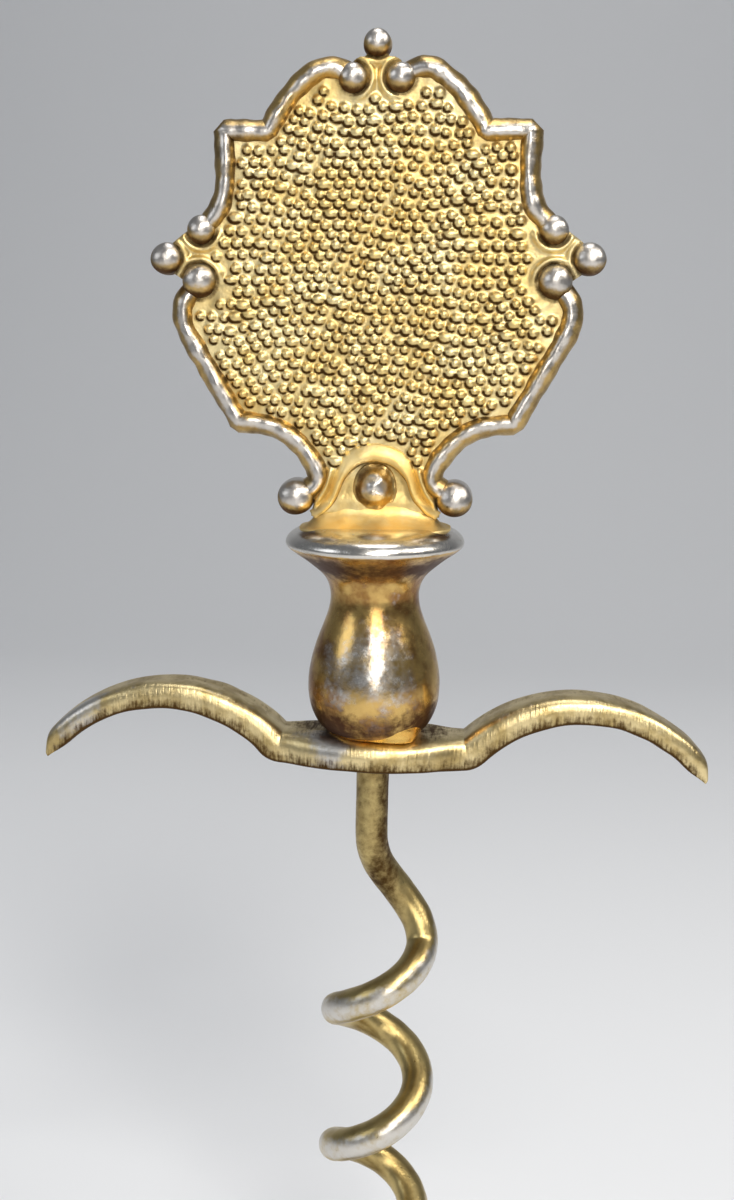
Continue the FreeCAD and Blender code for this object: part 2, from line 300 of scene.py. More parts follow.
CROWN_BEAD, CROWN_BEAD_RADIUS = node_ball("crown_bead_right")
CROWN_BALL, CROWN_BALL_RADIUS = node_ball("crown_ball")
SHOULDER_BEAD, SHOULDER_BEAD_RADIUS = node_ball("shoulder_bead_right")
EAR_BALL, EAR_BALL_RADIUS = node_ball("ear_ball_right")
SIDE_BEAD, SIDE_BEAD_RADIUS = node_ball("side_bead_right")
SCROLL_BEAD, SCROLL_BEAD_RADIUS = node_ball("scroll_bead_right")

NOTCH = (7.7, 46.5)
SHOULDER = (10.9, 46.5)
FLANK_CORNER = (10.1, 26.0)
PLATE_BOTTOM = 19.0

UPPER_RIM = [
    spline([CROWN_BEAD, (3.05, 50.7), (5.9, 49.15), NOTCH], 60),
    spline([NOTCH, SHOULDER], 20),
    spline([SHOULDER, (10.8, 43.6), (11.2, 41.4), SHOULDER_BEAD], 50),
]
LOWER_RIM = [
    spline([SIDE_BEAD, (14.05, 34.4), (12.9, 30.9), FLANK_CORNER], 70),
    spline([FLANK_CORNER, (7.4, 25.6), (5.1, 23.8), (4.25, 21.9), SCROLL_BEAD], 70),
]
ARCH = spline(
    [(-4.6, 19.0), (-3.1, 20.4), (-2.35, 22.2), (-1.35, 23.25), (0, 23.6),
     (1.35, 23.25), (2.35, 22.2), (3.1, 20.4), (4.6, 19.0)], 90)

BEADS = (
    (CROWN_BALL, CROWN_BALL_RADIUS), (CROWN_BEAD, CROWN_BEAD_RADIUS),
    (SHOULDER_BEAD, SHOULDER_BEAD_RADIUS), (EAR_BALL, EAR_BALL_RADIUS),
    (SIDE_BEAD, SIDE_BEAD_RADIUS), (SCROLL_BEAD, SCROLL_BEAD_RADIUS),
)

# a low ridge on the plate that follows the arch band's foot outside it
ECHO_RIDGE = spline([(3.25, 22.5), (3.5, 21.6), (4.0, 20.6), (4.9, 19.7)], 30)
ECHO_HEIGHT = 0.4
ECHO_WIDTH = 0.22


def half_outline():
    """The plate's outline on the +X side, from the crown down to the socle."""
    return np.concatenate(
        [[(0, CROWN_BALL[1] - 0.6)]] + UPPER_RIM + [[EAR_BALL]] + LOWER_RIM
        + [[(4.55, 20.2), (4.8, PLATE_BOTTOM)]]
    )


def plate_distance(points):
    """Signed distance to the plate's edge, negative on the plate."""
    folded = np.column_stack([np.abs(points[:, 0]), points[:, 1]])
    outline = half_outline()
    bottom = np.array([outline[-1], (0, PLATE_BOTTOM)])
    distance = np.minimum(line_distance(folded, outline), line_distance(folded, bottom))
    closed = np.vstack([outline, bottom[1:]])
    distance = np.where(inside(folded, closed), -distance, distance)
    ear_web = line_distance(folded, np.array([SHOULDER_BEAD, EAR_BALL, SIDE_BEAD])) - 0.62
    ear_heart = np.hypot(*(folded - EAR_WEB_HEART).T) - 1.45
    crown_web = line_distance(folded, np.array([(0, 49.5), CROWN_BALL])) - 0.72
    crown_heart = line_distance(folded, np.array([CROWN_WEB_HEART, (1.1, 50.7)])) - 0.75
    for web in (ear_web, ear_heart, crown_web, crown_heart):
        distance = smooth_min(distance, web, 0.35)
    return distance


def cup_ridges(points):
    """Height of the ridges that cup the beads of the crown and the ears."""
    folded = np.column_stack([np.abs(points[:, 0]), points[:, 1]])
    height = np.zeros(len(points))
    trios = (
        (EAR_CUP_HEART, ((SHOULDER_BEAD, SHOULDER_BEAD_RADIUS), (EAR_BALL, EAR_BALL_RADIUS),
                         (SIDE_BEAD, SIDE_BEAD_RADIUS))),
        (CROWN_CUP_HEART, ((CROWN_BALL, CROWN_BALL_RADIUS), (CROWN_BEAD, CROWN_BEAD_RADIUS))),
    )
    for heart, beads in trios:
        for centre, radius in beads:
            away = folded - centre
            reach = np.hypot(*away.T)
            towards = np.array(heart) - centre
            facing = (away @ towards) / np.maximum(reach, 1e-6) / np.linalg.norm(towards)
            window = smoothstep(-0.55, 0.1, facing)
            ridge = np.exp(-(((reach - radius - CUP_GAP) / CUP_WIDTH) ** 2))
            height = np.maximum(height, CUP_HEIGHT * ridge * window)
    return height


def granule_places():
    """Centres, radii, heights and stretches of the granules, in wavy rows."""
    draw = np.random.default_rng(11)
    rows = []
    for k, z in enumerate(np.arange(20.0, 54.0, GRANULE_PITCH_Z)):
        shift = GRANULE_PITCH_X * (0.5 * (k % 2) + draw.uniform(-0.1, 0.1))
        x = np.arange(-16, 16, GRANULE_PITCH_X) + shift
        rows.append(np.column_stack([x, np.full(len(x), z)]))
    places = np.vstack(rows)
    places[:, 1] += 0.55 * np.sin(0.24 * places[:, 0] + 0.09 * places[:, 1])
    places[:, 1] += 0.22 * np.sin(0.75 * places[:, 0] - 0.4 * places[:, 1])
    places += draw.normal(0, 0.07, places.shape)
    radius = draw.uniform(*GRANULE_RADIUS, len(places))
    height = draw.uniform(*GRANULE_HEIGHT, len(places))
    stretch = np.where(draw.uniform(size=len(places)) < 0.12, 1.45, 1.0)

    distance = plate_distance(places)
    clear = distance < 0.35 - GRANULE_MARGIN
    outwards = np.column_stack([plate_distance(places + shift) - distance
                                for shift in ((0.05, 0), (0, 0.05))]) / 0.05
    places -= outwards * np.maximum(distance + GRANULE_MARGIN, 0)[:, None]
    folded = np.column_stack([np.abs(places[:, 0]), places[:, 1]])
    for centre, bead_radius in BEADS:
        clear &= np.hypot(*(folded - centre).T) > bead_radius + GRANULE_BEAD_GAP
    clear &= ~inside(places, ARCH)
    clear &= line_distance(places, ARCH) > GRANULE_ARCH_GAP
    clear &= places[:, 1] > GRANULE_LOWEST_Z
    return places[clear], radius[clear], height[clear], stretch[clear]


def granules(points):
    """Height of the granulated ground at each point, and a painted shade: a dark crescent on
    the lower-left side of each granule's foot.
    """
    surface = np.zeros(len(points))
    dirt_and_shade = np.zeros(len(points))
    order = np.argsort(points[:, 1], kind="stable")
    levels = points[order, 1]
    for (x, z), size, rise, wide in zip(*granule_places()):
        low, high = np.searchsorted(levels, (z - 1.4 * size, z + 1.4 * size))
        near = order[low:high]
        dx, dz = (points[near, 0] - x) / (size * wide), (points[near, 1] - z) / size
        gap = dx ** 2 + dz ** 2
        surface[near] = np.maximum(surface[near], rise * np.clip(1 - gap, 0, 1) ** 0.62)
        # painted shade: each granule is darkened on its lower-left side, away from the light
        # above right
        shaded = smoothstep(-0.2, 0.6, -(0.5 * dx + 0.86 * dz) / np.sqrt(gap + 1e-6))
        ring = np.exp(-(((np.sqrt(gap) - 0.88) / 0.32) ** 2))
        dirt_and_shade[near] = np.maximum(dirt_and_shade[near], ring * shaded)
    return surface, dirt_and_shade


# ---------------------------------------------------------------- materials

def add(tree, kind, **values):
    """A shader node; each value is set on the input or the setting of that name."""
    node = tree.nodes.new(kind)
    for key, value in values.items():
        name = key.replace("_", " ").title()
        if name in node.inputs:
            node.inputs[name].default_value = value
        else:
            setattr(node, key, value)
    return node


def noise(tree, scale, detail=3.0, roughness=0.55, stretch=(1, 1, 1)):
    """Noise in the part's own coordinates, scale in waves per metre."""
    place = add(tree, "ShaderNodeTexCoord")
    mapping = add(tree, "ShaderNodeMapping")
    mapping.inputs["Scale"].default_value = stretch
    texture = add(tree, "ShaderNodeTexNoise", scale=scale, detail=detail, roughness=roughness)
    tree.links.new(place.outputs["Object"], mapping.inputs["Vector"])
    tree.links.new(mapping.outputs["Vector"], texture.inputs["Vector"])
    return texture.outputs["Fac"]


def ramp(tree, value, low, high):
    """A value moved from low..high to 0..1, with a soft start and end."""
    node = add(tree, "ShaderNodeMapRange", interpolation_type="SMOOTHSTEP")
    node.inputs["From Min"].default_value = low
    node.inputs["From Max"].default_value = high
    tree.links.new(value, node.inputs["Value"])
    return node.outputs["Result"]


def calculate(tree, operation, a, b):
    """A sum or product of two values, each a number or a socket."""
    node = add(tree, "ShaderNodeMath", operation=operation)
    for socket, value in zip(node.inputs, (a, b)):
        if isinstance(value, (int, float)):
            socket.default_value = value
        else:
            tree.links.new(value, socket)
    return node.outputs["Value"]


def mix_colour(tree, share, a, b):
    """Colour a where share is 0 and b where it is 1; each is a colour or a socket."""
    node = add(tree, "ShaderNodeMix", data_type="RGBA")
    tree.links.new(share, node.inputs[0])
    for socket, value in ((node.inputs[6], a), (node.inputs[7], b)):
        if isinstance(value, tuple):
            socket.default_value = value
        else:
            tree.links.new(value, socket)
    return node.outputs[2]


def mask(tree, name):
    """The value that make_piece stored on the mesh under this name."""
    return add(tree, "ShaderNodeAttribute", attribute_name=name).outputs["Fac"]


PALE_GOLD = (0.80, 0.61, 0.28, 1)
WARM_GOLD = (0.74, 0.47, 0.13, 1)
ORANGE_GOLD = (0.72, 0.36, 0.07, 1)
SILVER = (0.66, 0.63, 0.58, 1)
BROWN = (0.085, 0.045, 0.014, 1)
RED_BROWN = (0.17, 0.06, 0.02, 1)


def worn_gilding(name, gold, second_gold, bare, patina_and_shade_tint, wear, dirt_and_shade, shine, grain,
                 mark_stretch=(1, 1, 1), mark_scale=5200, patch_scale=330, streaks=0.0):
    """Old gilding: rubbed through to bare metal on high points and where a highlight is
    painted, brown in the hollows and where shade is painted.

    The wear and dirt numbers shift how much bare metal and how much brown there is, the brown
    standing for tarnish in the hollows and for painted shade; shine is the lowest roughness,
    grain the strength of the fine scratches or pits, and streaks how much dirt has stayed in
    them.
    """
    material = bpy.data.materials.new(name)
    material.use_nodes = True
    tree = material.node_tree
    shader = tree.nodes["Principled BSDF"]
    shader.inputs["Metallic"].default_value = 1.0

    patches = noise(tree, patch_scale, 4.0, 0.6)
    specks = noise(tree, 1500, 5.0, 0.65)
    marks = noise(tree, mark_scale, 3.0, 0.6, mark_stretch)

    gilt = mix_colour(tree, ramp(tree, patches, 0.38, 0.66), gold, second_gold)
    # the worn mask brings painted highlights too, which show here as bare metal
    rubbed_and_sheen = calculate(tree, "ADD", mask(tree, "wear"), wear)
    rubbed_and_sheen = calculate(tree, "ADD", rubbed_and_sheen, calculate(tree, "MULTIPLY", patches, 0.9))
    rubbed_and_sheen = calculate(tree, "ADD", rubbed_and_sheen, calculate(tree, "MULTIPLY", specks, 0.7))
    rubbed_and_sheen = ramp(tree, rubbed_and_sheen, 1.0, 1.45)
    metal = mix_colour(tree, rubbed_and_sheen, gilt, bare)
    # the brown is tarnish in the hollows together with the painted shade that the hollow mask
    # carries
    grime_and_shade = calculate(tree, "ADD", mask(tree, "hollow"), dirt_and_shade)
    grime_and_shade = calculate(tree, "ADD", grime_and_shade, calculate(tree, "MULTIPLY", specks, 0.9))
    grime_and_shade = calculate(tree, "ADD", grime_and_shade, calculate(tree, "MULTIPLY", marks, streaks))
    grime_and_shade = ramp(tree, grime_and_shade, 0.75, 1.35)
    tree.links.new(mix_colour(tree, grime_and_shade, metal, patina_and_shade_tint), shader.inputs["Base Color"])

    rough = calculate(tree, "MULTIPLY", specks, 0.25)
    rough = calculate(tree, "ADD", rough, shine)
    rough = calculate(tree, "ADD", rough, calculate(tree, "MULTIPLY", grime_and_shade, 0.25))
    tree.links.new(rough, shader.inputs["Roughness"])

    relief = calculate(tree, "ADD", calculate(tree, "MULTIPLY", specks, 0.6), marks)
    bump = add(tree, "ShaderNodeBump", strength=grain, distance=0.00008)
    tree.links.new(relief, bump.inputs["Height"])
    tree.links.new(bump.outputs["Normal"], shader.inputs["Normal"])
    return material


GROUND = worn_gilding("gilt_ground", (0.72, 0.53, 0.21, 1), (0.80, 0.66, 0.35, 1), SILVER,
                      BROWN, wear=-0.35, dirt_and_shade=0.07, shine=0.32, grain=0.25)
RELIEF = worn_gilding("worn_relief", (0.56, 0.38, 0.14, 1), (0.30, 0.21, 0.09, 1),
                      (0.60, 0.56, 0.51, 1), (0.10, 0.05, 0.02, 1), wear=-0.05, dirt_and_shade=0.0,
                      shine=0.20, grain=0.35)
STEM = worn_gilding("gilt_stem", (0.62, 0.41, 0.14, 1), (0.27, 0.13, 0.04, 1), SILVER,
                    (0.075, 0.032, 0.014, 1), wear=0.0, dirt_and_shade=0.04, shine=0.12, grain=0.15,
                    patch_scale=420, mark_scale=2600, streaks=0.3)
BAR = worn_gilding("gilt_bar", (0.74, 0.60, 0.32, 1), (0.46, 0.34, 0.14, 1), SILVER, BROWN,
                   wear=0.0, dirt_and_shade=-0.26, shine=0.22, grain=0.5, patch_scale=480,
                   mark_stretch=(1, 0.15, 0.14), streaks=0.8)
WIRE = worn_gilding("gilt_wire", (0.52, 0.40, 0.17, 1), (0.36, 0.26, 0.10, 1), SILVER, BROWN,
                    wear=-0.1, dirt_and_shade=0.0, shine=0.20, grain=0.28)
SOLDER = worn_gilding("solder", ORANGE_GOLD, WARM_GOLD, PALE_GOLD, RED_BROWN,
                      wear=-0.4, dirt_and_shade=-0.2, shine=0.15, grain=0.3)
SOCLE = worn_gilding("gilt_socle", (0.86, 0.60, 0.20, 1), (0.88, 0.70, 0.34, 1), SILVER, BROWN,
                     wear=-0.3, dirt_and_shade=-0.12, shine=0.38, grain=0.25)


# ---------------------------------------------------------------- the cartouche

def plate_mesh():
    """Points on the plate's face, their distances from its edge, and its faces."""
    xs = np.arange(-PLATE_REACH_X, PLATE_REACH_X, PLATE_STEP)
    zs = np.arange(PLATE_BOTTOM - 0.3, PLATE_TOP, PLATE_STEP)
    grid = np.stack(np.meshgrid(xs, zs, indexing="ij"), -1)
    shape = grid.shape[:2]
    points = grid.reshape(-1, 2)
    distance = plate_distance(points)
    slope = np.stack(np.gradient(distance.reshape(shape), PLATE_STEP), -1).reshape(-1, 2)
    slope /= np.maximum(np.linalg.norm(slope, axis=1, keepdims=True), 1e-6)
    snapped = np.abs(distance) < 0.6 * PLATE_STEP
    points = np.where(snapped[:, None], points - slope * distance[:, None], points)
    distance = np.where(snapped, 0, distance)

    index = np.arange(len(points)).reshape(shape)
    cells = np.stack([index[:-1, :-1], index[1:, :-1], index[1:, 1:], index[:-1, 1:]], -1)
    cells = cells.reshape(-1, 4)
    held = (distance <= 0)[cells]
    quads = cells[held.all(1)].tolist()
    threes = [cell[keep].tolist() for cell, keep in zip(cells, held) if keep.sum() == 3]
    used = np.unique(np.concatenate([np.ravel(quads), np.ravel(threes)]).astype(int))
    renumber = np.full(len(points), -1)
    renumber[used] = np.arange(len(used))
    faces = [[int(renumber[v]) for v in face] for face in quads + threes]
    return points[used], distance[used], faces


def plate_depths(points, distance):
    """How far the plate's front and back lie from its middle, and the front's masks."""
    folded = np.column_stack([np.abs(points[:, 0]), points[:, 1]])
    cups = cup_ridges(points)
    echo = ECHO_HEIGHT * np.exp(-((line_distance(folded, ECHO_RIDGE) / ECHO_WIDTH) ** 2))
    grains, shade_crescents = granules(points)
    rough = 0.03 * soft_noise(points, 2.5, 3) + 0.012 * soft_noise(points, 0.8, 4)
    from_edge = np.clip(-distance / PLATE_EDGE, 0, 1)
    rounding = PLATE_EDGE_DROP * (1 - np.sqrt(1 - (1 - from_edge) ** 2))
    recess = inside(points, ARCH) * smoothstep(0.2, 0.6, line_distance(points, ARCH))
    recess = RECESS_DEPTH * recess * smoothstep(20.0, 21.0, points[:, 1])
    relief = np.maximum(np.maximum(cups, echo), grains)
    front = PLATE_HALF - recess - rounding + relief + rough
    front = np.where(distance > -1e-9, PLATE_HALF - PLATE_EDGE_DROP, front)
    back = PLATE_HALF - rounding + 0.02 * soft_noise(points, 4.0, 5)

    wear = smoothstep(0.15, 0.36, grains + cups) * 0.3
    near_bead = np.zeros(len(points))
    for centre, radius in BEADS:
        gap = np.hypot(*(folded - centre).T) - radius
        near_bead = np.maximum(near_bead, 1 - smoothstep(0.05, 0.4, gap))
    # painted shade from the granules' crescents; the plate is also darker next to the beads and
    # in the recess inside the arch
    hollow = np.maximum(np.maximum(shade_crescents, 0.6 * near_bead), 1.5 * recess)
    return front, back, wear, hollow


def ground():
    """The granulated plate: a relief on its front, and a plain back."""
    points, distance, faces = plate_mesh()
    front, back, wear, hollow = plate_depths(points, distance)
    count = len(points)
    vertices = np.vstack([np.column_stack([points[:, 0], -front, points[:, 1]]),
                          np.column_stack([points[:, 0], back, points[:, 1]])])
    directed = {(a, b) for face in faces for a, b in zip(face, face[1:] + face[:1])}
    rims = [(a, b) for a, b in directed if (b, a) not in directed]
    sides = [(b, a, a + count, b + count) for a, b in rims]
    backs = [tuple(v + count for v in reversed(face)) for face in faces]
    return make_piece("ground_relief", vertices, faces + sides + backs,
                      GROUND, "gilt_ground", "ground_plate",
                      wear=np.concatenate([wear, np.zeros(count)]),
                      hollow=np.concatenate([hollow, np.full(count, 0.1)]))


def mitred_path(stretches):
    """Points, tangents and the two limiting corner planes of joined stretches."""
    rows = []
    tangents = [np.gradient(stretch, axis=0) for stretch in stretches]
    tangents = [t / np.linalg.norm(t, axis=1, keepdims=True) for t in tangents]
    for i, stretch in enumerate(stretches):
        planes = []
        if i > 0:
            planes.append((stretch[0], tangents[i - 1][-1] + tangents[i][0], 1))
        if i < len(stretches) - 1:
            planes.append((stretch[-1], tangents[i][-1] + tangents[i + 1][0], -1))
        for point, tangent in zip(stretch, tangents[i]):
            rows.append((point, tangent, planes))
    return rows


def rim_section():
    """The moulding's section as (outwards, towards the front) points and their wear."""
    shape = [(0.80, -0.95), (0.84, -0.2), (0.80, 0.45), (0.62, 0.95), (0.32, 1.30),
             (0.02, 1.50), (-0.26, 1.52), (-0.48, 1.34), (-0.64, 1.05), (-0.78, 0.70),
             (-0.80, 0.0), (-0.78, -0.75), (-0.45, -1.25), (0.0, -1.42), (0.5, -1.28)]
    return spline(shape + shape[:1], 40)[:-1]


def rim(name, stretches, side, seed):
    """A cast moulding carried along its stretches, with soft mitres.

    It is a little shallower at its ends, so that the beads there stand proud of it.
    """
    section = rim_section()
    rows = mitred_path(stretches)
    path = np.vstack(stretches)
    total = float(np.linalg.norm(np.diff(path, axis=0), axis=1).sum())
    rings, wear, hollow = [], [], []
    length = 0.0
    for k, (point, tangent, planes) in enumerate(rows):
        if k:
            length += float(np.linalg.norm(point - rows[k - 1][0]))
        out = np.array([-tangent[1], tangent[0]])
        swell = 1 + 0.035 * math.sin(1.9 * length + seed) + 0.02 * math.sin(4.7 * length)
        flat = point + out * (section[:, :1] * swell)
        for corner, normal, sign in planes:
            beyond = sign * ((flat - corner) @ normal)
            shift = np.where(beyond < 0, -beyond, 0) * sign / (tangent @ normal)
            flat = flat + shift[:, None] * tangent
        gap = line_distance(flat, path)
        allowed = MITRE_REACH * np.abs(section[:, 0]) * swell + 0.02
        pull = np.where(gap > allowed, allowed / np.maximum(gap, 1e-6), 1.0)
        flat = point + (flat - point) * pull[:, None]
        to_end = min(length, total - length)
        depth = section[:, 1] * (0.80 + 0.20 * smoothstep(0.5, 2.4, to_end)) * swell
        rings.append(np.column_stack([side * flat[:, 0], -depth, flat[:, 1]]))
        crest = np.exp(-(((section[:, 0] + 0.05) / 0.42) ** 2)) * (section[:, 1] > 0.6)
        wear.append(0.75 * crest)
        foot = (section[:, 0] < -0.45) & (section[:, 1] > 0) & (section[:, 1] < 1.2)
        # painted shade on the crest's outer slope, which falls away from the light
        outside = 0.45 * smoothstep(0.2, 0.6, section[:, 0])
        hollow.append(np.where(foot, 0.55, np.where(section[:, 1] > 0.6, outside, 0.35)))
    rings = np.array(rings)
    rings += 0.02 * ring_noise(rings, 1.2, seed)[..., None]
    return loft(name, rings, RELIEF, "worn_relief", wear, hollow)


def bead(node, seed):
    """One cast bead: a dome on each face, a little uneven, worn bright on its crown with a
    painted highlight on its top, and painted shade on its underside.
    """
    (x, z), radius = node_ball(node)
    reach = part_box(node)[1].y / MM
    ball = bmesh.new()
    bmesh.ops.create_icosphere(ball, subdivisions=5, radius=1.0)
    directions = np.array([v.co for v in ball.verts])
    faces = [[v.index for v in face.verts] for face in ball.faces]
    ball.free()
    vertices = directions * radius
    vertices[:, 1] += np.clip(directions[:, 1] * 3, -1, 1) * (reach - radius)
    uneven = 1 + 0.016 * soft_noise(directions, 1.6, seed) - 0.012
    vertices = vertices * uneven[:, None] + (x, 0, z)
    facing = directions * (1, 0, 1) + np.abs(directions) * (0, 1, 0)   # front and back alike
    # worn bright on the front and back, leaning upwards: the upward lean paints a highlight on
    # the top
    wear = 0.85 * smoothstep(0.0, 0.85, facing @ np.array([0.12, 0.74, 0.66]))
    # painted shade: darker on the lower side
    hollow = smoothstep(0.5, -0.3, facing @ np.array([0.12, 0.60, 0.79]))
    return make_piece(node, vertices, faces, RELIEF, "worn_relief", node,
                      wear=wear, hollow=0.85 * hollow)


def boss():
    """The blunt boss over the socle, worn bright on its crown."""
    around = np.linspace(0, 2 * math.pi, 64, endpoint=False)
    squarish = superellipse(around, 2.3)
    rings, wear, hollow = [], [], []
    for share in np.linspace(0.02, 1, 30):
        rise = BOSS_RISE * (0.5 + 0.5 * math.cos(math.pi * share ** 1.1))
        x = 0.93 * BOSS_RADIUS * share * np.cos(around) * squarish
        x *= 1 - 0.10 * np.sin(around)
        z = BOSS_RADIUS * share * np.sin(around) * squarish
        foot = PLATE_HALF if share < 1 else PLATE_HALF - FOOT_SUNK
        depth = np.full(len(around), foot + rise)
        rings.append(np.column_stack([x, -depth, BOSS_Z + z]))
        wear.append(np.full(len(around), 0.95 * (1 - smoothstep(0.35, 0.8, share))))
        # painted shade on the left flank, away from the light above right
        flank = smoothstep(0.4, 0.7, share) * (1 - smoothstep(0.8, 1.0, share))
        hollow.append(flank * (0.40 - 0.35 * np.cos(around)))
    rings = np.array(rings)
    rings[:-1, :, 1] += 0.045 * ring_noise(rings, 0.8, 21)[:-1]
    return loft("boss", rings, RELIEF, "worn_relief", wear, hollow)


def arch_band():
    """The bell-shaped band over the boss: a soft slope outside, a sharp drop inside."""
    tangent = np.gradient(ARCH, axis=0)
    tangent /= np.linalg.norm(tangent, axis=1, keepdims=True)
    section = spline([(-0.42, -0.15), (-0.40, 0.12), (-0.28, 0.36), (-0.05, 0.50),
                      (0.28, 0.44), (0.60, 0.22), (0.82, -0.05), (0.82, -0.2)], 26)
    rings, wear, hollow = [], [], []
    for point, along in zip(ARCH, tangent):
        breadth = 0.62 + 0.5 * smoothstep(21.4, 23.3, point[1])
        out = np.array([-along[1], along[0]])
        flat = point + out * (section[:, :1] * breadth)
        rise = (section[:, 1] + FOOT_SUNK) * smoothstep(18.7, 20.2, point[1])
        depth = PLATE_HALF - FOOT_SUNK + rise
        rings.append(np.column_stack([flat[:, 0], -depth, flat[:, 1]]))
        wear.append(0.25 * smoothstep(0.3, 0.5, section[:, 1]))
        hollow.append(0.7 * (section[:, 0] < -0.3) + 0.5 * smoothstep(0.55, 0.8, section[:, 0]))
    rings = np.array(rings)
    rings += 0.02 * ring_noise(rings, 1.4, 23)[..., None]
    return loft("arch_band", rings, SOCLE, "gilt_ground", wear, hollow)


def socle():
    """The coved foot that runs from the plate's face out to the collar's lip."""
    side = spline([(0.225, 1.0), (0.24, 0.78), (0.30, 0.54), (0.45, 0.31), (0.68, 0.13),
                   (0.88, 0.04), (1.0, 0.0)], 30)
    around = np.linspace(0, 2 * math.pi, 128, endpoint=False)
    squarish = superellipse(around, 2.8)
    rings, wear, hollow = [], [], []
    for reach, level in np.vstack([side, [(1.0, -0.12)]]):
        wide = SOCLE_HALF_X * (1 - SOCLE_TAPER * (1 - reach))
        x = wide * np.cos(around) * squarish
        y = SOCLE_HALF_Y * reach * np.sin(around) * squarish
        z = np.full(len(around), COLLAR_TOP - SOCLE_SUNK + (SOCLE_TOP - COLLAR_TOP) * level)
        rings.append(np.column_stack([x, y, z]))
        wear.append(np.full(len(around), 0.15))
        hollow.append(0.3 * smoothstep(0.55, 0.95, np.abs(x) / SOCLE_HALF_X))
    rings = np.array(rings)
    rings[..., 2] += 0.03 * ring_noise(rings, 1.8, 24)
    return loft("socle", rings, SOCLE, "gilt_ground", wear, hollow)


# ---------------------------------------------------------------- stem, solder, bar, worm

def baluster():
    """The turned stem with its bulb, neck, flare and rounded collar lip."""
    side = spline(STEM_SIDE, 170)
    around = 144
    turn = np.linspace(0, 2 * math.pi, around, endpoint=False)
    rings, wear, hollow = [], [], []
    for radius, z in side:
        place = np.column_stack([5 * np.cos(turn), 5 * np.sin(turn), np.full(around, z)])
        dents = 0.0030 * soft_noise(place, 4.5, 31) + 0.0012 * soft_noise(place, 1.2, 32)
        reach = min(radius, COLLAR_RADIUS) * (1 - 0.004 + dents)
        rings.append(np.column_stack([reach * np.cos(turn), reach * np.sin(turn),
                                      np.full(around, z)]))
        bulb = math.exp(-(((z - 8.2) / 3.4) ** 2))
        front = smoothstep(0.35, 1.0, -np.sin(turn + 0.1))
        lip = smoothstep(16.75, 17.1, z)
        flare = math.exp(-(((z - 15.7) / 1.1) ** 2))
        foot = 1 - smoothstep(3.6, 7.0, z)
        # painted highlight: a narrow bright streak down the front of the stem, shown as bare
        # metal
        rubbed_and_sheen = smoothstep(0.72, 0.98, -np.sin(turn - 0.12))
        wear.append(0.42 * bulb * front + 0.10 * rubbed_and_sheen * (z < 16) + 0.95 * lip)
        # painted shade on the lower bulb and at the foot, below the bulb's swell; darker also
        # on the flare under the lip
        hollow.append(0.8 * flare + 0.72 * foot - 0.5 * lip - 0.25 * rubbed_and_sheen)
    return loft("baluster", rings, STEM, "gilt_stem", wear, hollow)


def solder():
    """The solder round the stem's foot, with the drop that ran down at the front right."""
    turn = np.linspace(0, 2 * math.pi, 160, endpoint=False)
    uneven = 0.5 + 0.5 * np.sin(3 * turn + 0.6) * np.sin(5 * turn)
    drop = np.exp(-((np.angle(np.exp(1j * (turn - DROP_TURN))) / 0.40) ** 2))
    reach = 3.5 + 0.12 * uneven + 0.70 * drop
    height = 0.28 + 0.16 * uneven + 1.2 * drop
    rings = []
    for share in np.linspace(0, 1, 18):
        fall = (1 - share) ** 1.8
        z = FOOT_Z + height * share
        stem = np.interp(z, *STEM_UNDERCUT)
        radius = stem - 0.12 + (reach - 3.45) * fall + 0.22 * drop * (1 - share)
        rings.append(np.column_stack([radius * np.cos(turn), radius * np.sin(turn), z]))
    inner = 2.8 * np.column_stack([np.cos(turn), np.sin(turn)])
    rings.insert(0, np.column_stack([inner, np.full(len(turn), FOOT_Z)]))
    rings.append(np.column_stack([inner, FOOT_Z + height]))
    clean = np.zeros((len(rings), len(turn)))
    return loft("solder_fillet", rings, SOLDER, "solder", clean, clean + 0.15, leans=False)


def bar_centre(reach):
    """Height of the bar's centre line this far from the axis, with a soft crease."""
    apex_x, apex_z = ARM_APEX
    radius = ARM_INNER_RADIUS if reach < apex_x else ARM_OUTER_RADIUS
    arch = apex_z - radius + math.sqrt(max(radius ** 2 - (reach - apex_x) ** 2, 0))
    flat = BAR_THICKNESS / 2
    if reach < 5:
        return flat
    return -float(smooth_min(-flat, -arch, 0.45)) if reach < apex_x else arch


def bar_halves(reach):
    """Half depth and half thickness of the bar this far from the axis."""
    share = np.clip((reach - ARM_ROOT_X) / (ARM_END_X - ARM_ROOT_X), 0, 1)
    depth, thick = (root + (end - root) * share for root, end in zip(ARM_ROOT, ARM_END))
    bulge = (EYE_HALF_DEPTH - ARM_ROOT[0]) * (1 - (reach / EYE_HALF_LENGTH) ** 2)
    depth -= smooth_min(-bulge, 0.0, 0.4)
    thick += (BAR_THICKNESS / 2 - thick) * (1 - smoothstep(6.2, 8.2, reach))
    nib = smoothstep(ARM_END_X, NIB_END_X + 0.15, reach)
    return depth + (NIB_HALF_DEPTH - depth) * nib, thick


def bar_section():
    """Unit section (front 1, up 1): broad rounding above, small below, flat faces."""
    half = [(0.0, 1.0), (0.42, 1.0), (0.70, 0.91), (0.88, 0.67), (0.98, 0.28),
            (1.0, -0.15), (0.99, -0.62), (0.94, -0.91), (0.80, -1.0), (0.0, -1.0)]
    half = spline(half, 34)
    return np.vstack([half, half[-2:0:-1] * (-1, 1)])


def nib_bevel(x, across, level):
    """A section near an arm's end, cut by the flat under the nib and by the nib's end."""
    bevel_x, bevel_z, bevel_slope = NIB_BEVEL
    floor = bevel_z + bevel_slope * (np.abs(across) - bevel_x)
    level = -smooth_min(-level, -floor, 0.12)
    return np.sign(x) * smooth_min(np.abs(across), NIB_END_X, 0.5), level


